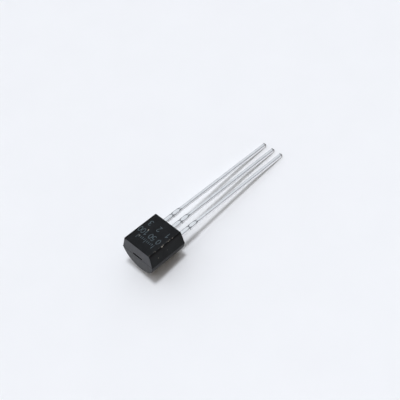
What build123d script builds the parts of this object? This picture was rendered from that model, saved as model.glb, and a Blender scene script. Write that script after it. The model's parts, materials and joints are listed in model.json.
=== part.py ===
from build123d import *
import os
from math import asin, atan2, cos, degrees, hypot, radians, tan

# Three-lead temperature sensor in a small moulded case, lying on its round side.
#
# The pieces are modelled in the package's own frame: X across the case, +Y out along the
# leads, +Z out of the flat marked face, with the origin on the lead plane at the end face
# that the leads leave. One placement at the end of the file tips every piece alike into
# its lying position. Lengths are millimetres and angles are degrees.

# Moulded case
# The mould parts on the underside of the leads, where the flanks meet the round side.
case_length = 4.67          # closed end to lead end, on the parting plane
case_width = 4.56           # across the feet of the two flanks, on the parting plane
flat_width = 3.84           # across the flat marked face, before its edges are rounded
flat_height = 1.34          # lead plane up to the flat face
round_depth = 2.31          # lead plane down to the bottom of the round side
end_draft = 3.5             # lean of both end faces, each way from the parting plane
flat_edge_radius = 0.16     # along the two edges between flat face and flank
end_edge_radius = 0.1       # round the outline of both end faces

# Slot moulded into the closed end, standing on the parting plane
slot_width = 1.34
slot_height = 0.22
slot_depth = 0.4

# Leads, stamped from one strip
lead_pitch = 1.27
lead_length = 16.2          # from the case to the cut tip
lead_width = 0.38
lead_thickness = 0.36
lead_edge_radius = 0.05
root_width = 0.5            # wider part that leaves the case
root_length = 1.6
waist_width = 0.43          # between the root and the cut tie bar
stub_width = 0.52           # what is left of the tie bar that joined the leads
stub_length = 0.8
step_length = 0.25          # taper from the stub to the narrow lead
waist_run = 0.12            # half the length of the waist
left_sway = 0.13            # how far each tip stands to the right of its root
centre_sway = 0.1
right_sway = 0.03

# Lead ends inside the case
pad_width = 1.7             # die pad on the centre lead
pad_length = 1.5
pad_end_gap = 0.8           # closed end of the case to the pad
post_width = 1.05           # bond post on each outer lead
post_length = 0.6
post_pad_gap = 0.25         # bond post to die pad
post_overhang = 0.25        # how far a post reaches outside its own lead's root
inner_corner_radius = 0.1
lock_radius = 0.1           # half-round bite that keys a lead in the epoxy
lock_depth = 0.55           # end face to the middle of that bite

# Chip, its adhesive and its wires
die_width = 1.0
die_length = 0.8
die_thickness = 0.25
attach_thickness = 0.03
attach_margin = 0.06        # adhesive that shows round the chip
wire_diameter = 0.05
ball_diameter = 0.1
ball_height = 0.03
bond_inset = 0.15           # bond to the nearest edges of the chip
loop_height = 0.24          # top of a wire's loop above the chip
landing_height = 0.14       # end of the loop's slope above the bond post
wire_bend_radius = 0.06

# Lengths that follow from those
half_thickness = lead_thickness / 2
parting_z = -half_thickness
flat_lean = (flat_height - parting_z) * tan(radians(end_draft))
round_lean = (round_depth + parting_z) * tan(radians(end_draft))
stub_start = root_length + waist_run
stub_end = stub_start + stub_length
step_end = stub_end + step_length
pad_far_y = -case_length + pad_end_gap
pad_near_y = pad_far_y + pad_length
pad_middle_y = pad_far_y + pad_length / 2
post_far_y = pad_near_y + post_pad_gap
post_middle_y = post_far_y + post_length / 2
post_middle_x = lead_pitch + root_width / 2 + post_overhang - post_width / 2
end_facing = cos(radians(45))   # an end face's normal is nearer to Y than this
die_seat = half_thickness + attach_thickness
die_top = die_seat + die_thickness


def outer_outline(middle, sway):
    """Corner points of a lead outside the case, round from its root and back."""
    stations = [
        (0, root_width),
        (root_length - waist_run, root_width),
        (root_length, waist_width),
        (stub_start, stub_width),
        (stub_end, stub_width),
        (step_end, lead_width),
    ]
    right_side = [(middle + width / 2, y) for y, width in stations]
    left_side = [(middle - width / 2, y) for y, width in reversed(stations)]
    tip_right = (middle + sway + lead_width / 2, lead_length)
    tip_left = (middle + sway - lead_width / 2, lead_length)
    return right_side + [tip_right, tip_left] + left_side


def stamped_lead(middle, sway, head_middle, head_size):
    """A lead with its head inside the case: one flat outline, as thick as the strip."""
    head_x, head_y = head_middle
    with BuildPart() as lead:
        with BuildSketch(Plane.XY.offset(-half_thickness)):
            with Locations((head_x, head_y)):
                RectangleRounded(*head_size, radius=inner_corner_radius)
            # the stem runs from the middle of the head to the case's end face
            with Locations((middle, head_y / 2)):
                Rectangle(root_width, -head_y)
            bite_offset = root_width / 2
            with Locations((middle - bite_offset, -lock_depth), (middle + bite_offset, -lock_depth)):
                Circle(lock_radius, mode=Mode.SUBTRACT)
            with BuildLine():
                Polyline(*outer_outline(middle, sway), close=True)
            make_face()
        extrude(amount=lead_thickness)
        # the edges along the lead and round its cut tip are slightly rounded
        outer_edges = lead.edges().filter_by_position(Axis.Y, 0, lead_length, (False, True))
        upright_edges = outer_edges.filter_by(Axis.Z)
        tip_edges = upright_edges.filter_by_position(Axis.Y, step_end, lead_length, (False, True))
        fillet(outer_edges - upright_edges + tip_edges, radius=lead_edge_radius)
    return lead


def bond_wire(side):
    """A round wire from a corner of the chip over to the bond post on that side."""
    die_x = side * (die_width / 2 - bond_inset)
    die_y = pad_middle_y + die_length / 2 - bond_inset
    post_x = side * post_middle_x
    with BuildPart() as wire:
        with BuildLine() as route:
            FilletPolyline(
                (die_x, die_y, die_top),
                (die_x, die_y, die_top + loop_height),
                (post_x, post_middle_y, half_thickness + landing_height),
                (post_x, post_middle_y, half_thickness),
                radius=wire_bend_radius,
            )
        with BuildSketch(Plane(origin=route.line @ 0, z_dir=route.line % 0)):
            Circle(wire_diameter / 2)
        sweep()
        # ball bond, squashed on the chip
        with BuildSketch(Plane.XY.offset(die_top)):
            with Locations((die_x, die_y)):
                Circle(ball_diameter / 2)
        extrude(amount=ball_height)
    return wire


post_size = (post_width, post_length)
lead_left = stamped_lead(-lead_pitch, left_sway, (-post_middle_x, post_middle_y), post_size)
lead_centre = stamped_lead(0, centre_sway, (0, pad_middle_y), (pad_width, pad_length))
lead_right = stamped_lead(lead_pitch, right_sway, (post_middle_x, post_middle_y), post_size)

with BuildPart() as die_attach:
    with BuildSketch(Plane.XY.offset(half_thickness)):
        with Locations((0, pad_middle_y)):
            Rectangle(die_width + 2 * attach_margin, die_length + 2 * attach_margin)
    extrude(amount=attach_thickness)

with BuildPart() as sensor_die:
    with BuildSketch(Plane.XY.offset(die_seat)):
        with Locations((0, pad_middle_y)):
            Rectangle(die_width, die_length)
    extrude(amount=die_thickness)

bond_wire_left = bond_wire(-1)
bond_wire_right = bond_wire(1)

with BuildPart() as moulded_case:
    # cross-section: flat face, two straight flanks and one arc for the round side
    with BuildSketch(Plane.XZ):
        with BuildLine():
            left_flank = Line((-flat_width / 2, flat_height), (-case_width / 2, parting_z))
            right_flank = Line((case_width / 2, parting_z), (flat_width / 2, flat_height))
            ThreePointArc(left_flank @ 1, (0, -round_depth), right_flank @ 0)
            Line(right_flank @ 1, left_flank @ 0)
        make_face()
    extrude(amount=case_length)
    # side view: both end faces lean in, above and below the parting plane
    with BuildSketch(Plane.YZ):
        with BuildLine():
            Polyline(
                (0, parting_z),
                (-flat_lean, flat_height),
                (-case_length + flat_lean, flat_height),
                (-case_length, parting_z),
                (-case_length + round_lean, -round_depth),
                (-round_lean, -round_depth),
                close=True,
            )
        make_face()
    extrude(amount=case_width, both=True, mode=Mode.INTERSECT)
    flat_face = moulded_case.faces().sort_by(Axis.Z)[-1]
    fillet(flat_face.edges().filter_by(Axis.Y), radius=flat_edge_radius)
    end_faces = moulded_case.faces().filter_by(lambda face: abs(face.normal_at().Y) > end_facing)
    # the outline of the end faces, without their edges on the parting plane
    outline = end_faces.edges().filter_by(lambda edge: abs(edge.center().Z - parting_z) > end_edge_radius)
    fillet(outline, radius=end_edge_radius)
    with BuildSketch(Plane.XZ.offset(case_length)):
        with Locations((0, parting_z + slot_height / 2)):
            Rectangle(slot_width, slot_height)
    extrude(amount=-slot_depth, mode=Mode.SUBTRACT)
    # the epoxy is moulded round everything it holds
    for held in (lead_left, lead_centre, lead_right, die_attach, sensor_die):
        add(held.part, mode=Mode.SUBTRACT)
    for wire in (bond_wire_left, bond_wire_right):
        add(wire.part, mode=Mode.SUBTRACT)

sub_parts = {
    "moulded_case": moulded_case,
    "lead_left": lead_left,
    "lead_centre": lead_centre,
    "lead_right": lead_right,
    "die_attach": die_attach,
    "sensor_die": sensor_die,
    "bond_wire_left": bond_wire_left,
    "bond_wire_right": bond_wire_right,
}

# Lying position: the lead-end edge of the round side and the three tips touch the surface.
# The surface is the line under two circles seen from the side: the rounding of that edge
# and the rounding of the tips.
run = (lead_length - lead_edge_radius) - (-round_lean - end_edge_radius)
rise = (-half_thickness + lead_edge_radius) - (-round_depth + end_edge_radius)
tilt = degrees(atan2(rise, run) + asin((end_edge_radius - lead_edge_radius) / hypot(run, rise)))
tipped = Location((0, 0, 0), (-tilt, 0, 0))
lying_box = Compound([sub_part.part.moved(tipped) for sub_part in sub_parts.values()]).bounding_box()
base_centre = (lying_box.center().X, lying_box.center().Y, lying_box.min.Z)
rest = Location(base_centre).inverse() * tipped

os.makedirs("parts", exist_ok=True)
for name, sub_part in sub_parts.items():
    sub_part.part.location = rest
    sub_part.part.label = name
    export_step(sub_part.part, f"parts/{name}.step")
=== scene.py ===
"""Finishes and fine detail for a three-lead temperature sensor in a small moulded case.

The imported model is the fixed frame. It lies on its round side, a little tipped, so every place
here is given in the face frame: origin at the middle of the flat marked face, X across the case,
Y out along the leads and Z out of the face. Sizes that a user may change are properties, and the
patterns in the materials are worked out in millimetres.
"""

import json
from math import atan2, cos, pi, radians, sin

import bpy
import numpy as np
from bpy.props import FloatProperty, FloatVectorProperty, PointerProperty
from mathutils import Matrix, Vector


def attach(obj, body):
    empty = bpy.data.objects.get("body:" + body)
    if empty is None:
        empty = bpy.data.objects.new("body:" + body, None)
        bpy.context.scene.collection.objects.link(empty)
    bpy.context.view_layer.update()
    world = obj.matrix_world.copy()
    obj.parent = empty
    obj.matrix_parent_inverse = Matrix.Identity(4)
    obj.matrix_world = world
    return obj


bl_info = {
    "name": "Moulded Temperature Sensor",
    "version": (1, 0, 0),
    "blender": (4, 5, 0),
    "location": "3D View > Sidebar > Sensor",
    "description": "Finishes a three-lead moulded temperature sensor and sets its stage",
    "category": "Object",
}

MM = 0.001

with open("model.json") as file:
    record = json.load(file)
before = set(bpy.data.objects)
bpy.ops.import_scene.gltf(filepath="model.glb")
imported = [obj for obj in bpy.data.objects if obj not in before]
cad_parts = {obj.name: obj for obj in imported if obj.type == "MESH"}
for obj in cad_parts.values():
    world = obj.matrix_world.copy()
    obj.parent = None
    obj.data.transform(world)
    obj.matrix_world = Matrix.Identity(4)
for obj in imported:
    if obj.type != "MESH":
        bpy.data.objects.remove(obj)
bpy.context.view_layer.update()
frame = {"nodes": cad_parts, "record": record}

# The face frame, from the part's own mounts
MOUNTS = {mount["name"]: mount for mount in frame["record"]["mounts"]}
FACE_MIDDLE = Vector(MOUNTS["sensing_face"]["pos_m"])
FACE_AXIS = Vector(MOUNTS["sensing_face"]["axis"])
LEAD_AXIS = Vector(MOUNTS["lead_row"]["axis"])
LEAN = atan2(FACE_AXIS.y, FACE_AXIS.z)

# Where the part's own features lie in the face frame, in millimetres
CASE_HALF_LENGTH = 2.335  # on the parting plane; the leads leave the case at +Y
CASE_HALF_WIDTH = 2.28  # at the foot of the flanks
FACE_HALF_LENGTH = 2.24
FACE_HALF_WIDTH = 1.78  # to the start of the rounded edges
PARTING_Z = -1.52
SLOT_HALF_WIDTH = 0.67
LEAD_PLANE_Z = -1.34
LEAD_HALF_THICKNESS = 0.18

# A lead's half width: the root's, then each change and the stretch of the lead that it takes
ROOT_HALF_WIDTH = 0.25
WIDTH_CHANGES = ((-0.035, 1.48, 1.6), (0.045, 1.6, 1.72), (-0.07, 2.52, 2.77))
WAIST = 1.6
STEP_END = 2.77
LEAD_LENGTH = 16.2
LEAD_MIDDLES = {"lead_left": -1.27, "lead_centre": 0.0, "lead_right": 1.27}

# Numbers of a plain scale, each with its place across the face, and its row of ticks
SCALE_NUMBERS = (("0", 1.15), ("50", 0.22), ("100", -1.12))
SCALE_BASE = 0.06
TICKS = 11
TICK_ENDS = (1.15, -1.12)
TICK_BASE = -0.86
LEAD_NUMBERS = (("1", 1.27), ("2", 0.0), ("3", -1.27))
LEAD_NUMBER_BASE = 1.28

# Bend of the parting ridge round the case's corner
RIDGE_BEND = 0.03

# Distances along the case are shortened by this to stretch a speck
STRETCH = 0.55

# Specks of dust and small chips: place in the face frame, radius and how pale each is
SPECKS = (
    (-0.8, 0.15, 0.0, 0.065, 0.9),
    (-0.98, -0.96, 0.0, 0.045, 0.9),
    (1.86, -0.42, -0.02, 0.065, 0.9),
    (1.82, -0.2, -0.01, 0.05, 0.4),
    (1.82, 0.5, -0.01, 0.05, 0.45),
    (1.82, 0.72, -0.01, 0.04, 0.35),
    (1.83, 1.08, -0.01, 0.06, 0.4),
    (1.84, -1.3, -0.02, 0.035, 0.3),
    (2.12, -1.25, -0.84, 0.05, 0.3),
    (2.1, 0.04, -0.74, 0.05, 0.15),
)


def linear(hex_colour):
    """Turn an sRGB hex colour such as "#1B1D1F" into linear red, green and blue."""
    channels = np.array([int(hex_colour[i : i + 2], 16) / 255 for i in (1, 3, 5)])
    low = channels / 12.92
    high = ((channels + 0.055) / 1.055) ** 2.4
    return tuple(np.where(channels <= 0.04045, low, high).tolist())


def colour(name, hex_colour, description):
    """A colour property whose default is the given sRGB hex colour."""
    return FloatVectorProperty(
        name=name,
        description=description,
        subtype="COLOR",
        size=3,
        min=0.0,
        max=1.0,
        default=linear(hex_colour),
    )


def length(name, millimetres, description):
    """A length property whose default is given in millimetres."""
    return FloatProperty(
        name=name,
        description=description,
        unit="LENGTH",
        subtype="DISTANCE",
        precision=6,
        min=0.0,
        default=millimetres * MM,
    )


def share(name, value, description):
    """A property from 0 to 1."""
    return FloatProperty(
        name=name, description=description, subtype="FACTOR", min=0.0, max=1.0, default=value
    )


def angle(name, degrees, description):
    """An angle property whose default is given in degrees."""
    return FloatProperty(
        name=name, description=description, subtype="ANGLE", default=radians(degrees)
    )


# ---------------------------------------------------------------------------------------
# Properties
# ---------------------------------------------------------------------------------------


class SensorEpoxy(bpy.types.PropertyGroup):
    """The moulded case's finish."""

    body: colour("Body", "#0D0E0F", "Black epoxy on the flat face, the flanks and the round side")
    mottle: colour("Mottle", "#151718", "Paler epoxy in the faint flow marks")
    # painted reflection: the end faces' paler colour stands in for the pale table that they reflect
    ends: colour("End faces", "#4C4D50", "Greyer epoxy on the two drafted end faces")
    # painted shade: this near-black goes on the rounded edges, in a margin beside them and at the
    # lead end, round the round side's ends and in the slot; it also draws the dark parting line
    edge: colour("Edges", "#020202", "Smooth dark epoxy on the rounded edges and in the slot")
    # also the colour of a painted highlight, a thin pale line beside one rounded edge
    speck_and_highlight: colour("Specks", "#A39D90", "Dust and small chips")
    grain: length("Grain", 0.13, "Size of the eroded mould texture's grain")
    roughness: share("Roughness", 0.36, "Roughness of the moulded surface")
    gloss: share("Gloss", 0.13, "How strongly the filled epoxy reflects, where 0.5 is plain epoxy")


class SensorTin(bpy.types.PropertyGroup):
    """The leads' finish."""

    tin: colour("Tin", "#E2E4E2", "Matte tin plating on the rolled faces")
    dull: colour("Dull tin", "#C9CCCA", "Duller plating in streaks along the lead")
    # painted reflection: the sheared sides are painted paler than the tops to stand in for the
    # table they reflect
    sheared: colour("Sheared sides", "#F4F4F5", "Plating over the sheared sides")
    # painted shade: this grey goes along the leads' top edges, strongest on the +X side and at the
    # tie bar's stub, and in the coined waist
    outline: colour("Edges", "#5C5D60", "Thin plating along the edges and in the coined waist")
    cut: colour("Cut end", "#4F4A44", "Bare metal at the cut tips")
    streak: length("Streak", 0.06, "Width of the draw lines along the lead")
    roughness: share("Roughness", 0.34, "Roughness of the plating")


class SensorMarking(bpy.types.PropertyGroup):
    """Plain numbers and ticks on the flat face."""

    ink: colour("Mark", "#566266", "Epoxy that the marking laser has turned grey")
    height: length("Height", 0.66, "Height of a numeral")
    stroke: length("Stroke", 0.085, "Width of a stroke")
    rise: length("Rise", 0.003, "How far a stroke stands proud of the face")


class SensorMouldLine(bpy.types.PropertyGroup):
    """What the mould leaves on the parting line and round the leads."""

    width: length("Ridge width", 0.05, "Width of the ridge along the parting line")
    height: length("Ridge height", 0.014, "How far the ridge stands proud of the case")
    bleed: length("Bleed", 0.045, "How far the resin creeps along a lead")


class SensorStage(bpy.types.PropertyGroup):
    """Table, light and camera."""

    table: colour("Table", "#F3F3F1", "Pale table top")
    room: colour("Room", "#5A4930", "Dim side of the room")
    window: colour("Window", "#EDF1FA", "Bright side of the room")
    key: colour("Key", "#F1F5FF", "Soft light overhead")
    key_strength: FloatProperty(
        name="Key strength",
        description="Strength of the soft light overhead",
        min=0.0,
        default=1.55,
    )
    key_spread: angle("Key spread", 12, "Angle that the overhead light fills")
    lens: FloatProperty(
        name="Lens",
        description="Focal length of the camera in millimetres",
        unit="CAMERA",
        min=1.0,
        default=78.49,
    )
    distance: length("Distance", 94.535, "Camera to the point it aims at")
    azimuth: angle("Azimuth", 55.155, "Direction that the camera stands in, round the vertical")
    elevation: angle("Elevation", 52.774, "Height of the camera above the horizon")
    roll: angle("Roll", -13.43, "Turn of the camera about its own line of sight")


PROPERTY_GROUPS = {
    "sensor_epoxy": SensorEpoxy,
    "sensor_tin": SensorTin,
    "sensor_marking": SensorMarking,
    "sensor_mould_line": SensorMouldLine,
    "sensor_stage": SensorStage,
}


# ---------------------------------------------------------------------------------------
# Meshes
# ---------------------------------------------------------------------------------------


def to_row(points):
    """Carry points in the face frame, in metres, to the model's own frame.

    Each point is the face's middle plus x along X, y along the leads and z out of the face.
    """
    axes = np.array([(1.0, 0.0, 0.0), LEAD_AXIS, FACE_AXIS])
    return np.asarray(points) @ axes + np.array(FACE_MIDDLE)


def grid_faces(index):
    """Faces between neighbouring rows of a grid of point numbers, closed round each row."""
    near, far = index[:-1], index[1:]
    quads = np.stack([near, far, np.roll(far, -1, 1), np.roll(near, -1, 1)], -1)
    return quads.reshape(-1, 4).tolist()


def closed_tube(rings):
    """Points and faces of a tube through rings[station, around], shut by a fan at both ends.

    The poles of the two fans are the means of the first and last ring.
    """
    stations, around = rings.shape[:2]
    index = np.arange(stations * around).reshape(stations, around)
    first, last = index.size, index.size + 1
    start, end = index[0], index[-1]
    start_fan = np.stack([np.full(around, first), start, np.roll(start, -1)], -1)
    end_fan = np.stack([np.full(around, last), np.roll(end, -1), end], -1)
    poles = [rings[0].mean(0), rings[-1].mean(0)]
    points = np.concatenate([rings.reshape(-1, 3), poles])
    return points, grid_faces(index) + start_fan.tolist() + end_fan.tolist()


def closed_loop(rings):
    """Points and faces of a tube through rings[station, around] whose last ring meets its first."""
    index = np.arange(rings.shape[0] * rings.shape[1]).reshape(rings.shape[:2])
    return rings.reshape(-1, 3), grid_faces(np.concatenate([index, index[:1]]))


def new_piece(name, shells, material):
    """Make one object from several closed shells of points and faces in the face frame."""
    points, faces, offset = [], [], 0
    for shell_points, shell_faces in shells:
        points.append(shell_points)
        faces += [[offset + corner for corner in face] for face in shell_faces]
        offset += len(shell_points)
    mesh = bpy.data.meshes.new(name)
    mesh.from_pydata(to_row(np.concatenate(points)).tolist(), [], faces)
    mesh.polygons.foreach_set("use_smooth", np.ones(len(faces), bool))
    mesh.update()
    if mesh.validate():
        raise RuntimeError(f"{name} has faces that aren't sound")
    mesh.materials.append(material)
    piece = bpy.data.objects.new(name, mesh)
    bpy.context.scene.collection.objects.link(piece)
    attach(piece, "root")


def smooth_path(points, closed, samples=9):
    """A Catmull-Rom curve through the points, as rows of x and y.

    Between two neighbours each sample is half the sum of the cubic's four terms in u.
    """
    knots = np.asarray(points, float)
    if closed:
        knots = np.concatenate([knots[-1:], knots, knots[:2]])
    else:
        knots = np.concatenate([2 * knots[:1] - knots[1:2], knots, 2 * knots[-1:] - knots[-2:-1]])
    before, start, end, after = (
        k[:, None, :] for k in (knots[:-3], knots[1:-2], knots[2:-1], knots[3:])
    )
    u = np.linspace(0, 1, samples, endpoint=False)[None, :, None]
    curve = 0.5 * (
        2 * start
        + (end - before) * u
        + (2 * before - 5 * start + 4 * end - after) * u**2
        + (3 * start - before - 3 * end + after) * u**3
    )
    return np.concatenate([curve.reshape(-1, 2), knots[-2:-1]])


def stroke_shell(path, half_width, rise, around=10):
    """A low rounded ribbon along a flat path on the face, with half-round ends.

    A point at angle v round the section lies half_width cos v to the side of the path and
    rise sin v above the face. Near an end, at distance d from it, both are scaled by the
    square root of 1 - (1 - d / half_width) squared, so that the ribbon closes in a half circle.
    """
    run = np.concatenate([[0], np.cumsum(np.linalg.norm(np.diff(path, axis=0), axis=1))])
    total = run[-1] + 2 * half_width
    cap = half_width * (1 - np.cos(np.linspace(0.12, pi / 2, 5)))
    stations = np.concatenate([cap, run[1:-1] + half_width, (total - cap)[::-1]])
    at = np.clip(stations - half_width, 0, run[-1])
    tangent = np.gradient(path, axis=0)
    ahead = np.stack([np.interp(at, run, tangent[:, k]) for k in (0, 1)], -1)
    ahead /= np.linalg.norm(ahead, axis=1)[:, None]
    centre = np.stack([np.interp(at, run, path[:, k]) for k in (0, 1)], -1)
    centre += ahead * (stations - half_width - at)[:, None]
    end_distance = np.clip(np.minimum(stations, total - stations) / half_width, 0, 1)
    scale = np.sqrt(1 - (1 - end_distance) ** 2)
    side = np.stack([-ahead[:, 1], ahead[:, 0]], -1) * (scale * half_width)[:, None]
    # v runs downwards, so that the faces point outwards
    v = np.arange(around, 0, -1) * 2 * pi / around
    flat = centre[:, None, :] + side[:, None, :] * np.cos(v)[:, None]
    lift = scale[:, None] * rise * np.sin(v)
    return closed_tube(np.concatenate([flat, lift[..., None]], -1))


# Numerals as centre lines in a box one unit tall: each stroke is closed or open
NUMERALS = {
    "0": [(True, [(0.28, 1), (0.5, 0.72), (0.5, 0.28), (0.28, 0), (0.06, 0.28), (0.06, 0.72)])],
    "1": [(False, [(0.1, 0.76), (0.24, 0.88), (0.34, 1)]), (False, [(0.34, 1), (0.34, 0)])],
    "2": [
        (False, [(0.06, 0.76), (0.16, 0.96), (0.38, 0.98), (0.5, 0.78), (0.4, 0.5), (0.06, 0)]),
        (False, [(0.06, 0), (0.52, 0)]),
    ],
    "3": [
        (False, [(0.07, 0.88), (0.26, 1), (0.46, 0.88), (0.44, 0.64), (0.24, 0.54)]),
        (False, [(0.24, 0.54), (0.48, 0.44), (0.5, 0.16), (0.28, 0), (0.05, 0.12)]),
    ],
    "5": [
        (False, [(0.48, 1), (0.12, 1)]),
        (False, [(0.12, 1), (0.1, 0.56)]),
        (False, [(0.1, 0.56), (0.32, 0.62), (0.5, 0.44), (0.48, 0.16), (0.28, 0), (0.06, 0.1)]),
    ],
}
NUMERAL_WIDTH = 0.56
NUMERAL_GAP = 0.1


def number_shells(text, across, base, marking):
    """Ribbons for a number that reads from +X to -X, with its top towards the closed end."""
    full = len(text) * NUMERAL_WIDTH + (len(text) - 1) * NUMERAL_GAP
    shells = []
    for place, digit in enumerate(text):
        left = place * (NUMERAL_WIDTH + NUMERAL_GAP) - full / 2
        for closed, knots in NUMERALS[digit]:
            path = smooth_path(knots, closed)
            x = across * MM - (path[:, 0] + left) * marking.height
            y = base * MM - path[:, 1] * marking.height
            line = np.stack([x, y], -1)
            shells.append(stroke_shell(line, marking.stroke / 2, marking.rise))
    return shells


def tick_shells(marking):
    """A row of ticks above the numbers: the first, middle and last are longer."""
    shells = []
    for number, x in enumerate(np.linspace(*TICK_ENDS, TICKS)):
        tall = 0.5 if number % (TICKS // 2) == 0 else 0.26
        line = np.linspace((x, TICK_BASE), (x, TICK_BASE - tall), 4) * MM
        shells.append(stroke_shell(line, marking.stroke / 2.6, marking.rise))
    return shells


def ridge_shell(side, mould_line):
    """Half of the parting ridge: along one flank, round the corner and in to the slot.

    At angle v round the section a point stands height cos v out from the case and
    width / 2 sin v up from the parting line.
    """
    wide, long, bend = CASE_HALF_WIDTH, CASE_HALF_LENGTH, RIDGE_BEND
    turn = np.linspace(0, pi / 2, 5)
    flank = np.stack([np.full(12, wide), np.linspace(long - 0.02, 0.05 - long, 12)], -1)
    corner = np.stack([wide - bend * (1 - np.cos(turn)), bend - long - bend * np.sin(turn)], -1)
    end = np.stack([np.linspace(wide - 0.05, SLOT_HALF_WIDTH + 0.01, 8), np.full(8, -long)], -1)
    path = np.concatenate([flank, corner, end])
    flank_out, corner_out, end_out = (
        np.tile((1.0, 0.0), (12, 1)),
        np.stack([np.cos(turn), -np.sin(turn)], -1),
        np.tile((0.0, -1.0), (8, 1)),
    )
    out = np.concatenate([flank_out, corner_out, end_out])
    v = np.arange(8) * 2 * pi / 8
    flat = path[:, None, :] * MM + out[:, None, :] * (mould_line.height * np.cos(v))[:, None]
    lift = np.broadcast_to(PARTING_Z * MM + mould_line.width / 2 * np.sin(v), flat.shape[:2])
    rings = np.concatenate([flat, lift[..., None]], -1)
    if side > 0:
        rings = rings[:, ::-1]
    return closed_tube(rings * (side, 1, 1))


def bleed_shell(middle, mould_line):
    """A thin collar of resin round a lead where it leaves the case.

    The path is a rounded rectangle just inside the lead's surface. Round the section, at angle
    v, a point lies bleed cos v out along the lead and half of bleed times sin v off its surface.
    The bleed varies by a fifth round the lead.
    """
    turn = np.arange(48) * 2 * pi / 48
    squareness = 0.25
    across = np.sign(np.cos(turn)) * np.abs(np.cos(turn)) ** squareness * ROOT_HALF_WIDTH
    upward = np.sign(np.sin(turn)) * np.abs(np.sin(turn)) ** squareness * LEAD_HALF_THICKNESS
    out = np.stack([across / ROOT_HALF_WIDTH**2, upward / LEAD_HALF_THICKNESS**2], -1)
    out /= np.linalg.norm(out, axis=1)[:, None]
    v = np.arange(8) * 2 * pi / 8
    creep = mould_line.bleed * (1 + 0.2 * np.sin(3 * turn + middle))[:, None]
    off = 0.5 * creep * np.sin(v)
    x = (middle + across)[:, None] * MM + out[:, :1] * off
    z = (LEAD_PLANE_Z + upward)[:, None] * MM + out[:, 1:] * off
    y = (CASE_HALF_LENGTH - 0.01) * MM + creep * np.cos(v)
    return closed_loop(np.stack([x, y, z], -1))


# ---------------------------------------------------------------------------------------
# Materials
# ---------------------------------------------------------------------------------------


def add(tree, kind, inputs, out=0, **settings):
    """Add a shader node and give back one of its outputs.

    inputs is a list for its first sockets or a dict by socket. Each is a value to set, or
    another node's output to link.
    """
    node = tree.nodes.new("ShaderNode" + kind)
    for name, value in settings.items():
        setattr(node, name, value)
    for key, value in inputs.items() if isinstance(inputs, dict) else enumerate(inputs):
        if isinstance(value, bpy.types.NodeSocket):
            tree.links.new(value, node.inputs[key])
        else:
            node.inputs[key].default_value = value
    return node.outputs[out]


def start_material(name):
    """A new material with its tree and shader, and the place and facing in the face frame.

    The place is in millimetres. Both come from the piece's own coordinates, turned by the lean
    of the case, and the place is then moved to the middle of the flat face.
    """
    material = bpy.data.materials.new(name)
    material.use_nodes = True
    tree = material.node_tree
    own = add(tree, "TexCoord", [], "Object")
    normal = own.node.outputs["Normal"]
    moved = -(Matrix.Rotation(LEAN, 3, "X") @ FACE_MIDDLE) / MM
    place = add(tree, "Mapping", [own, moved, (LEAN, 0, 0), (1 / MM, 1 / MM, 1 / MM)])
    facing = add(tree, "Mapping", {0: normal, "Rotation": (LEAN, 0, 0)}, vector_type="NORMAL")
    return material, tree, tree.nodes["Principled BSDF"], place, facing


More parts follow.
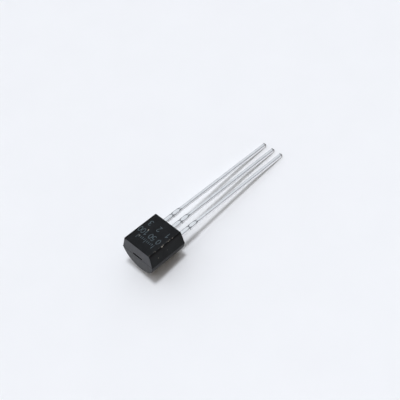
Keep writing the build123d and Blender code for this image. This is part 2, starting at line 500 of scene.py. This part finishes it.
def moulded_epoxy(epoxy):
    """Black silica-filled epoxy from a spark-eroded mould.

    To the eye it is a satin near-black with a fine grain and faint flow marks. The drafted end
    faces are painted paler as a painted reflection of the table, with painted shade below the
    parting line. The rounded edges, a margin beside them, the round side's outline and the slot
    carry painted shade and are smoother. A painted highlight runs beside one edge, where dust
    clings.
    """
    material, tree, shader, place, facing = start_material("moulded_epoxy")
    soft = {"interpolation_type": "SMOOTHSTEP"}
    rgba = {"data_type": "RGBA"}
    x, y, z = (add(tree, "SeparateXYZ", [place], axis) for axis in "XYZ")
    face_y, face_z = (add(tree, "SeparateXYZ", [facing], axis) for axis in "YZ")
    aside = add(tree, "Math", [x], operation="ABSOLUTE")
    face_y = add(tree, "Math", [face_y], operation="ABSOLUTE")

    # flow marks about 1 mm across
    flow = add(tree, "TexNoise", {"Vector": place, "Scale": 0.9, "Detail": 4.0})
    flow = add(tree, "MapRange", [flow, 0.38, 0.66], **soft)
    base = add(tree, "Mix", {0: flow, 6: (*epoxy.body, 1), 7: (*epoxy.mottle, 1)}, 2, **rgba)

    # eroded grain, drawn a little coarse so that it shows
    grain = add(tree, "TexNoise", {"Vector": place, "Scale": MM / epoxy.grain, "Detail": 3.0})
    pale = add(tree, "MapRange", [grain, 0.54, 0.8, 0.0, 0.55], **soft)
    base = add(tree, "Mix", {0: pale, 6: base, 7: (*(2.5 * c for c in epoxy.mottle), 1)}, 2, **rgba)

    # end faces painted paler, a painted reflection of the table, with painted shade below the
    # parting line
    end = add(tree, "MapRange", [face_y, 0.75, 0.95], **soft)
    below = add(tree, "MapRange", [z, PARTING_Z + 0.03, PARTING_Z - 0.03], **soft)
    # painted shade: the end faces' colour at half strength below the parting line
    painted_lower_shade = (*(0.5 * c for c in epoxy.ends), 1)
    ends = add(tree, "Mix", {0: below, 6: (*epoxy.ends, 1), 7: painted_lower_shade}, 2, **rgba)
    cloud = add(tree, "TexNoise", {"Vector": place, "Scale": 2.2, "Detail": 4.0})
    cloud = add(tree, "MapRange", [cloud, 0.3, 0.7, 0.86, 1.0])
    end = add(tree, "Math", [end, cloud], operation="MULTIPLY")
    base = add(tree, "Mix", {0: end, 6: base, 7: ends}, 2, **rgba)

    # painted shade on the rounded long edges, and a smooth margin of painted shade beside them and
    # at the lead end
    rounded = add(tree, "MapRange", [face_z, 0.3, 0.5], **soft)
    turned = add(tree, "MapRange", [face_z, 0.995, 0.95], **soft)
    rounded = add(tree, "Math", [rounded, turned], operation="MULTIPLY")
    sideways = add(tree, "MapRange", [face_y, 0.5, 0.2], **soft)
    rounded = add(tree, "Math", [rounded, sideways], operation="MULTIPLY")
    left = add(tree, "MapRange", [x, 0.14 - FACE_HALF_WIDTH, 0.04 - FACE_HALF_WIDTH], **soft)
    right = add(tree, "MapRange", [x, FACE_HALF_WIDTH + 0.02, FACE_HALF_WIDTH + 0.06], **soft)
    near_edge = add(tree, "Math", [left, right], operation="MAXIMUM")
    above = add(tree, "MapRange", [z, -0.34, -0.24], **soft)
    near_edge = add(tree, "Math", [near_edge, above], operation="MULTIPLY")
    near_end = add(tree, "MapRange", [y, FACE_HALF_LENGTH - 0.2, FACE_HALF_LENGTH - 0.06], **soft)
    margin_shade = add(tree, "Math", [near_edge, near_end], operation="MAXIMUM")
    margin_shade = add(tree, "Math", [margin_shade, 0.85], operation="MULTIPLY")
    dark = add(tree, "Math", [rounded, margin_shade], operation="MAXIMUM")

    # painted shade on the rounded outline of the round side's ends, smooth too
    outline = add(tree, "MapRange", [face_y, 0.94, 0.84], **soft)
    inner = add(tree, "MapRange", [face_y, 0.15, 0.35], **soft)
    outline = add(tree, "Math", [outline, inner], operation="MULTIPLY")
    outline = add(tree, "Math", [outline, below], operation="MULTIPLY")
    outline = add(tree, "Math", [outline, 0.85], operation="MULTIPLY")
    dark = add(tree, "Math", [dark, outline], operation="MAXIMUM")

    # the dark parting line, and painted shade in the slot
    line = add(tree, "Math", [z, PARTING_Z], operation="SUBTRACT")
    line = add(tree, "Math", [line], operation="ABSOLUTE")
    line = add(tree, "MapRange", [line, 0.05, 0.02, 0.0, 0.3], **soft)
    deep = add(tree, "MapRange", [y, 0.01 - CASE_HALF_LENGTH, 0.04 - CASE_HALF_LENGTH], **soft)
    slot_x = add(tree, "MapRange", [aside, SLOT_HALF_WIDTH + 0.02, SLOT_HALF_WIDTH], **soft)
    slot_z = add(tree, "MapRange", [z, PARTING_Z + 0.25, PARTING_Z + 0.23], **soft)
    slot_foot = add(tree, "MapRange", [z, PARTING_Z - 0.02, PARTING_Z - 0.005], **soft)
    shallow = add(tree, "MapRange", [y, 0.5 - CASE_HALF_LENGTH, 0.45 - CASE_HALF_LENGTH], **soft)
    slot = deep
    for limit in (slot_x, slot_z, slot_foot, shallow):
        slot = add(tree, "Math", [slot, limit], operation="MULTIPLY")
    for mask in (line, slot):
        dark = add(tree, "Math", [dark, mask], operation="MAXIMUM")
    # the painted shade and the dark parting line take the near-black colour
    base = add(tree, "Mix", {0: dark, 6: base, 7: (*epoxy.edge, 1)}, 2, **rgba)

    # a painted highlight: a thin pale line beside the shaded edge, broken along its run
    edge_highlight = add(tree, "Math", [x, FACE_HALF_WIDTH - 0.02], operation="SUBTRACT")
    edge_highlight = add(tree, "Math", [edge_highlight], operation="ABSOLUTE")
    edge_highlight = add(tree, "MapRange", [edge_highlight, 0.06, 0.02, 0.0, 0.16], **soft)
    broken = add(tree, "TexNoise", {"Vector": place, "Scale": 2.4, "Detail": 3.0})
    broken = add(tree, "MapRange", [broken, 0.45, 0.62], **soft)
    edge_highlight = add(tree, "Math", [edge_highlight, broken], operation="MULTIPLY")
    above = add(tree, "MapRange", [z, -0.06, -0.03], **soft)
    dust_and_highlight = add(tree, "Math", [edge_highlight, above], operation="MULTIPLY")

    # dust and chips, stretched along the case and with ragged outlines
    stretched = add(tree, "Mapping", {0: place, "Scale": (1.0, STRETCH, 1.0)})
    ragged = add(tree, "TexNoise", {"Vector": place, "Scale": 12.0, "Detail": 2.0})
    ragged = add(tree, "MapRange", [ragged, 0.0, 1.0, -0.05, 0.05])
    for speck_x, speck_y, speck_z, radius, pale in SPECKS:
        middle = (speck_x, speck_y * STRETCH, speck_z)
        away = add(tree, "VectorMath", [stretched, middle], "Value", operation="DISTANCE")
        away = add(tree, "Math", [away, ragged], operation="ADD")
        grainy = add(tree, "MapRange", [away, radius, 0.5 * radius, 0.0, pale], **soft)
        dust_and_highlight = add(tree, "Math", [dust_and_highlight, grainy], operation="MAXIMUM")
    # the specks of dust and the painted highlight take the speck colour
    base = add(tree, "Mix", {0: dust_and_highlight, 6: base, 7: (*epoxy.speck_and_highlight, 1)}, 2, **rgba)

    low, high = epoxy.roughness - 0.05, epoxy.roughness + 0.08
    rough = add(tree, "MapRange", [grain, 0.3, 0.7, low, high])
    rough = add(tree, "Mix", {0: dark, 2: rough, 3: 0.3})
    height = {"Strength": 0.5, "Distance": 0.01 * MM, "Height": grain}
    bump = add(tree, "Bump", height)
    for socket, value in {"Base Color": base, "Roughness": rough, "Normal": bump}.items():
        tree.links.new(value, shader.inputs[socket])
    shader.inputs["IOR"].default_value = 1.5
    shader.inputs["Specular IOR Level"].default_value = epoxy.gloss
    return material


def matte_tin(name, tin, middle, sway):
    """Matte tin plated over a stamped lead.

    To the eye it is a bright satin white metal with fine lines along the lead. Its edges and
    coined waist carry painted shade, its sheared sides are painted paler as a painted reflection
    of the table, and its cut tip is bare and dark.
    """
    material, tree, shader, place, facing = start_material(name)
    soft = {"interpolation_type": "SMOOTHSTEP"}
    rgba = {"data_type": "RGBA"}
    x, y = (add(tree, "SeparateXYZ", [place], axis) for axis in "XY")
    face_x, face_y = (add(tree, "SeparateXYZ", [facing], axis) for axis in "XY")
    face_x = add(tree, "Math", [face_x], operation="ABSOLUTE")
    along = add(tree, "Math", [y, CASE_HALF_LENGTH], operation="SUBTRACT")

    # draw lines: noise drawn out along the lead
    drawn = add(tree, "Mapping", {0: place, "Scale": (1.0, 0.035, 1.0)})
    lines = add(tree, "TexNoise", {"Vector": drawn, "Scale": MM / tin.streak, "Detail": 3.0})
    faint = add(tree, "MapRange", [lines, 0.45, 0.7], **soft)
    base = add(tree, "Mix", {0: faint, 6: (*tin.tin, 1), 7: (*tin.dull, 1)}, 2, **rgba)

    # cloudy patches in the plating, about 0.6 mm long
    cloud = add(tree, "TexNoise", {"Vector": place, "Scale": 1.6, "Detail": 4.0})
    cloud = add(tree, "MapRange", [cloud, 0.5, 0.72, 0.0, 0.7], **soft)
    base = add(tree, "Mix", {0: cloud, 6: base, 7: (*tin.dull, 1)}, 2, **rgba)

    # sheared sides: their own colour, painted paler than the tops as a painted reflection of the
    # table
    side = add(tree, "MapRange", [face_x, 0.6, 0.9], **soft)
    base = add(tree, "Mix", {0: side, 6: base, 7: (*tin.sheared, 1)}, 2, **rgba)

    # distance from the lead's edge: its half width there, less the distance from its middle.
    # The painted shade along the edges is full on both sides up to the tie bar's stub, strongest on
    # the +X side beyond it, and widens at both ends of the stub.
    half_width = ROOT_HALF_WIDTH
    for change, start, end in WIDTH_CHANGES:
        step = add(tree, "MapRange", [along, start, end, 0.0, change])
        half_width = add(tree, "Math", [half_width, step], operation="ADD")
    line = add(tree, "MapRange", [along, STEP_END, LEAD_LENGTH, middle, middle + sway])
    off = add(tree, "Math", [x, line], operation="SUBTRACT")
    right = add(tree, "MapRange", [off, -0.05, 0.05, 0.35, 1.0])
    wide = add(tree, "MapRange", [along, STEP_END - 0.1, STEP_END + 0.1, 1.0, 0.0])
    strength = add(tree, "Math", [right, wide], operation="MAXIMUM")
    off = add(tree, "Math", [off], operation="ABSOLUTE")
    inset = add(tree, "Math", [half_width, off], operation="SUBTRACT")
    waist = add(tree, "Math", [along, WAIST], operation="SUBTRACT")
    waist = add(tree, "Math", [waist], operation="ABSOLUTE")
    stub = add(tree, "Math", [along, STEP_END - 0.1], operation="SUBTRACT")
    stub = add(tree, "Math", [stub], operation="ABSOLUTE")
    ends = add(tree, "Math", [waist, stub], operation="MINIMUM")
    stub_shade = add(tree, "MapRange", [ends, 0.0, 0.3, 0.13, 0.0])
    inset = add(tree, "Math", [inset, stub_shade], operation="SUBTRACT")
    outline = add(tree, "MapRange", [inset, 0.085, 0.045, 0.0, 0.85], **soft)
    upper = add(tree, "MapRange", [face_x, 0.9, 0.6], **soft)
    outline = add(tree, "Math", [outline, upper], operation="MULTIPLY")
    outline = add(tree, "Math", [outline, strength], operation="MULTIPLY")

    # painted shade in the coined waist
    waist = add(tree, "MapRange", [waist, 0.08, 0.03, 0.0, 0.75], **soft)
    outline = add(tree, "Math", [outline, waist], operation="MAXIMUM")
    base = add(tree, "Mix", {0: outline, 6: base, 7: (*tin.outline, 1)}, 2, **rgba)

    # the cut tip, with a little of the bare metal drawn over the top
    drag = add(tree, "MapRange", [along, LEAD_LENGTH - 0.22, LEAD_LENGTH - 0.05], **soft)
    cut = add(tree, "MapRange", [face_y, 0.4, 0.7], **soft)
    cut = add(tree, "Math", [cut, drag], operation="MAXIMUM")
    beyond = add(tree, "MapRange", [along, STEP_END, STEP_END + 0.1])
    cut = add(tree, "Math", [cut, beyond], operation="MULTIPLY")
    base = add(tree, "Mix", {0: cut, 6: base, 7: (*tin.cut, 1)}, 2, **rgba)

    low, high = tin.roughness - 0.06, tin.roughness + 0.12
    rough = add(tree, "MapRange", [lines, 0.3, 0.7, low, high])
    bump = add(tree, "Bump", {"Strength": 0.35, "Distance": 0.01 * MM, "Height": lines})
    for socket, value in {"Base Color": base, "Roughness": rough, "Normal": bump}.items():
        tree.links.new(value, shader.inputs[socket])
    shader.inputs["Metallic"].default_value = 1.0
    return material


def grained(name, dark, light, grain, roughness, metallic=0.0):
    """A plain finish: two near colours in a noise whose grain is given in millimetres."""
    material, tree, shader, place, facing = start_material(name)
    noise = add(tree, "TexNoise", {"Vector": place, "Scale": 1 / grain, "Detail": 3.0})
    noise = add(tree, "MapRange", [noise, 0.35, 0.65])
    base = add(tree, "Mix", {0: noise, 6: (*dark, 1), 7: (*light, 1)}, 2, data_type="RGBA")
    rough = add(tree, "MapRange", [noise, 0.0, 1.0, roughness, roughness + 0.08])
    tree.links.new(base, shader.inputs["Base Color"])
    tree.links.new(rough, shader.inputs["Roughness"])
    shader.inputs["Metallic"].default_value = metallic
    return material


def dress(node, material):
    """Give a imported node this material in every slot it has."""
    piece = frame["nodes"][node]
    if not piece.material_slots:
        piece.data.materials.append(material)
    for material_slot in piece.material_slots:
        material_slot.material = material


# ---------------------------------------------------------------------------------------
# Stage
# ---------------------------------------------------------------------------------------


def lay_table(stage):
    """A round table that turns up at its rim: flat out to 0.3 m, then a rising parabola."""
    radius = np.concatenate([[0.02, 0.1, 0.2], np.linspace(0.3, 0.9, 13)])
    height = np.clip(radius - 0.3, 0, None) ** 2 / 1.2
    turn = np.arange(96) * 2 * pi / 96
    x = radius[:, None] * np.cos(turn)
    y = radius[:, None] * np.sin(turn)
    z = np.broadcast_to(height[:, None], x.shape)
    index = np.arange(x.size).reshape(x.shape) + 1
    hub = np.stack([np.zeros(96, int), index[0], np.roll(index[0], -1)], -1)
    points = np.concatenate([[(0.0, 0.0, 0.0)], np.stack([x, y, z], -1).reshape(-1, 3)])
    mesh = bpy.data.meshes.new("table")
    mesh.from_pydata(points.tolist(), [], hub.tolist() + grid_faces(index))
    mesh.polygons.foreach_set("use_smooth", np.ones(len(mesh.polygons), bool))
    table = bpy.data.objects.new("table", mesh)
    bpy.context.scene.collection.objects.link(table)

    # white laminate: faintly cloudy, in patches about 6 mm across
    material = bpy.data.materials.new("white_laminate")
    material.use_nodes = True
    tree = material.node_tree
    shader = tree.nodes["Principled BSDF"]
    own = add(tree, "TexCoord", [], "Object")
    cloud = add(tree, "TexNoise", {"Vector": own, "Scale": 170.0, "Detail": 3.0})
    duller = (*(0.965 * c for c in stage.table), 1)
    base = add(tree, "Mix", {0: cloud, 6: duller, 7: (*stage.table, 1)}, 2, data_type="RGBA")
    tree.links.new(base, shader.inputs["Base Color"])
    shader.inputs["Roughness"].default_value = 0.6
    shader.inputs["Specular IOR Level"].default_value = 0.2
    mesh.materials.append(material)


def light_stage(scene, stage):
    """A broad soft light overhead, in a room that is bright on one side and dim on the other."""
    lamp = bpy.data.lights.new("overhead", "SUN")
    lamp.energy = stage.key_strength
    lamp.angle = stage.key_spread
    lamp.color = stage.key
    overhead = bpy.data.objects.new("overhead", lamp)
    overhead.rotation_mode = "QUATERNION"
    overhead.rotation_quaternion = Vector((0.0, 0.1, 1.0)).to_track_quat("Z", "Y")
    scene.collection.objects.link(overhead)

    world = bpy.data.worlds.new("room")
    world.use_nodes = True
    tree = world.node_tree
    direction = add(tree, "TexCoord", [], "Generated")
    window = Vector((-0.48, 0.2, 0.85)).normalized()
    toward = add(tree, "VectorMath", [direction, window], "Value", operation="DOT_PRODUCT")
    lit = add(tree, "MapRange", [toward, 0.3, 0.85], interpolation_type="SMOOTHSTEP")
    room = {0: lit, 6: (*stage.room, 1), 7: (*stage.window, 1)}
    glow = add(tree, "Mix", room, 2, data_type="RGBA")
    tree.links.new(glow, tree.nodes["Background"].inputs["Color"])
    scene.world = world


def aim_camera(scene, stage):
    """Stand the camera off along azimuth and elevation from the point it aims at, and roll it."""
    aim = Vector((-0.629, -0.542, 1.657)) * MM
    level = cos(stage.elevation)
    back = Vector((sin(stage.azimuth) * level, -cos(stage.azimuth) * level, sin(stage.elevation)))
    data = bpy.data.cameras.new("camera")
    data.sensor_width = 36.0
    data.lens = stage.lens
    data.clip_start = 0.005
    data.clip_end = 5.0
    camera = bpy.data.objects.new("camera", data)
    camera.rotation_mode = "QUATERNION"
    camera.location = aim + back * stage.distance
    upright = (-back).to_track_quat("-Z", "Y")
    camera.rotation_quaternion = upright @ Matrix.Rotation(stage.roll, 3, "Z").to_quaternion()
    scene.collection.objects.link(camera)
    scene.camera = camera


# ---------------------------------------------------------------------------------------
# Operators
# ---------------------------------------------------------------------------------------


class SENSOR_OT_case(bpy.types.Operator):
    """Give the moulded case its epoxy finish"""

    bl_idname = "sensor.case"
    bl_label = "Moulded case"

    def execute(self, context):
        dress("moulded_case", moulded_epoxy(context.scene.sensor_epoxy))
        return {"FINISHED"}


class SENSOR_OT_leads(bpy.types.Operator):
    """Give the three leads their tin finish"""

    bl_idname = "sensor.leads"
    bl_label = "Leads"

    def execute(self, context):
        for node, middle in LEAD_MIDDLES.items():
            points = np.array([corner.co for corner in frame["nodes"][node].data.vertices])
            tip = points[points[:, 1] > points[:, 1].max() - 0.05 * MM]
            sway = tip[:, 0].mean() / MM - middle
            material = matte_tin(f"matte_tin_{node}", context.scene.sensor_tin, middle, sway)
            dress(node, material)
        return {"FINISHED"}


class SENSOR_OT_inside(bpy.types.Operator):
    """Give the chip, its adhesive and its wires their finishes"""

    bl_idname = "sensor.inside"
    bl_label = "Chip and wires"

    def execute(self, context):
        # polished silicon: a smooth slate-grey mirror
        silicon = grained("polished_silicon", linear("#3C4048"), linear("#50555F"), 0.5, 0.15, 0.6)
        # silver-filled epoxy adhesive: pale grey and grainy
        adhesive = grained("silver_adhesive", linear("#8E8E8A"), linear("#A9A9A4"), 0.05, 0.6, 0.4)
        # drawn gold wire: bright yellow metal
        gold = grained("gold_wire", linear("#D9A94A"), linear("#EBC16A"), 0.03, 0.22, 1.0)
        dress("sensor_die", silicon)
        dress("die_attach", adhesive)
        dress("bond_wire_left", gold)
        dress("bond_wire_right", gold)
        return {"FINISHED"}


class SENSOR_OT_marking(bpy.types.Operator):
    """Mark the flat face with a plain scale, and a number for each lead"""

    bl_idname = "sensor.marking"
    bl_label = "Marking"

    def execute(self, context):
        marking = context.scene.sensor_marking
        shells = tick_shells(marking)
        for number, across in SCALE_NUMBERS:
            shells += number_shells(number, across, SCALE_BASE, marking)
        for number, across in LEAD_NUMBERS:
            shells += number_shells(number, across, LEAD_NUMBER_BASE, marking)
        # laser-marked epoxy: a thin scorched line that the grain breaks up
        faint = tuple(0.35 * c for c in marking.ink)
        scorched = grained("laser_marked_epoxy", faint, tuple(marking.ink), 0.12, 0.65)
        scorched.node_tree.nodes["Principled BSDF"].inputs["Specular IOR Level"].default_value = 0.2
        new_piece("face_marking", shells, scorched)
        return {"FINISHED"}


class SENSOR_OT_mould_line(bpy.types.Operator):
    """Add the ridge on the parting line and the thin collars of resin round the leads"""

    bl_idname = "sensor.mould_line"
    bl_label = "Mould line"

    def execute(self, context):
        mould_line = context.scene.sensor_mould_line
        # moulding flash: the same black epoxy, a little paler and rougher where it is thin
        flash = grained("moulding_flash", linear("#17181A"), linear("#2A2B2D"), 0.1, 0.5)
        flash.node_tree.nodes["Principled BSDF"].inputs["Specular IOR Level"].default_value = 0.3
        ridges = [ridge_shell(side, mould_line) for side in (-1, 1)]
        new_piece("parting_ridge", ridges, flash)
        collars = [bleed_shell(middle, mould_line) for middle in LEAD_MIDDLES.values()]
        new_piece("resin_collars", collars, flash)
        return {"FINISHED"}


class SENSOR_OT_stage(bpy.types.Operator):
    """Lay the pale table and set the light and the camera"""

    bl_idname = "sensor.stage"
    bl_label = "Stage"

    def execute(self, context):
        stage = context.scene.sensor_stage
        lay_table(stage)
        light_stage(context.scene, stage)
        aim_camera(context.scene, stage)
        return {"FINISHED"}


class SENSOR_PT_panel(bpy.types.Panel):
    """The sensor's pieces, with their sizes and colours"""

    bl_idname = "SENSOR_PT_panel"
    bl_label = "Temperature sensor"
    bl_space_type = "VIEW_3D"
    bl_region_type = "UI"
    bl_category = "Sensor"

    def draw(self, context):
        for group, kind in PROPERTY_GROUPS.items():
            box = self.layout.box()
            for name in kind.__annotations__:
                box.prop(getattr(context.scene, group), name)
        for operator in OPERATORS:
            self.layout.operator(operator.bl_idname)


OPERATORS = (
    SENSOR_OT_case,
    SENSOR_OT_leads,
    SENSOR_OT_inside,
    SENSOR_OT_marking,
    SENSOR_OT_mould_line,
    SENSOR_OT_stage,
)
CLASSES = (*PROPERTY_GROUPS.values(), *OPERATORS, SENSOR_PT_panel)


def register():
    for cls in CLASSES:
        bpy.utils.register_class(cls)
    for name, group in PROPERTY_GROUPS.items():
        setattr(bpy.types.Scene, name, PointerProperty(type=group))


def unregister():
    for name in PROPERTY_GROUPS:
        delattr(bpy.types.Scene, name)
    for cls in reversed(CLASSES):
        bpy.utils.unregister_class(cls)


def main():
    """Finish every piece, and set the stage."""
    register()
    bpy.context.scene.view_settings.view_transform = "Standard"
    bpy.ops.sensor.case()
    bpy.ops.sensor.leads()
    bpy.ops.sensor.inside()
    bpy.ops.sensor.marking()
    bpy.ops.sensor.mould_line()
    bpy.ops.sensor.stage()


if __name__ == "__main__":
    main()
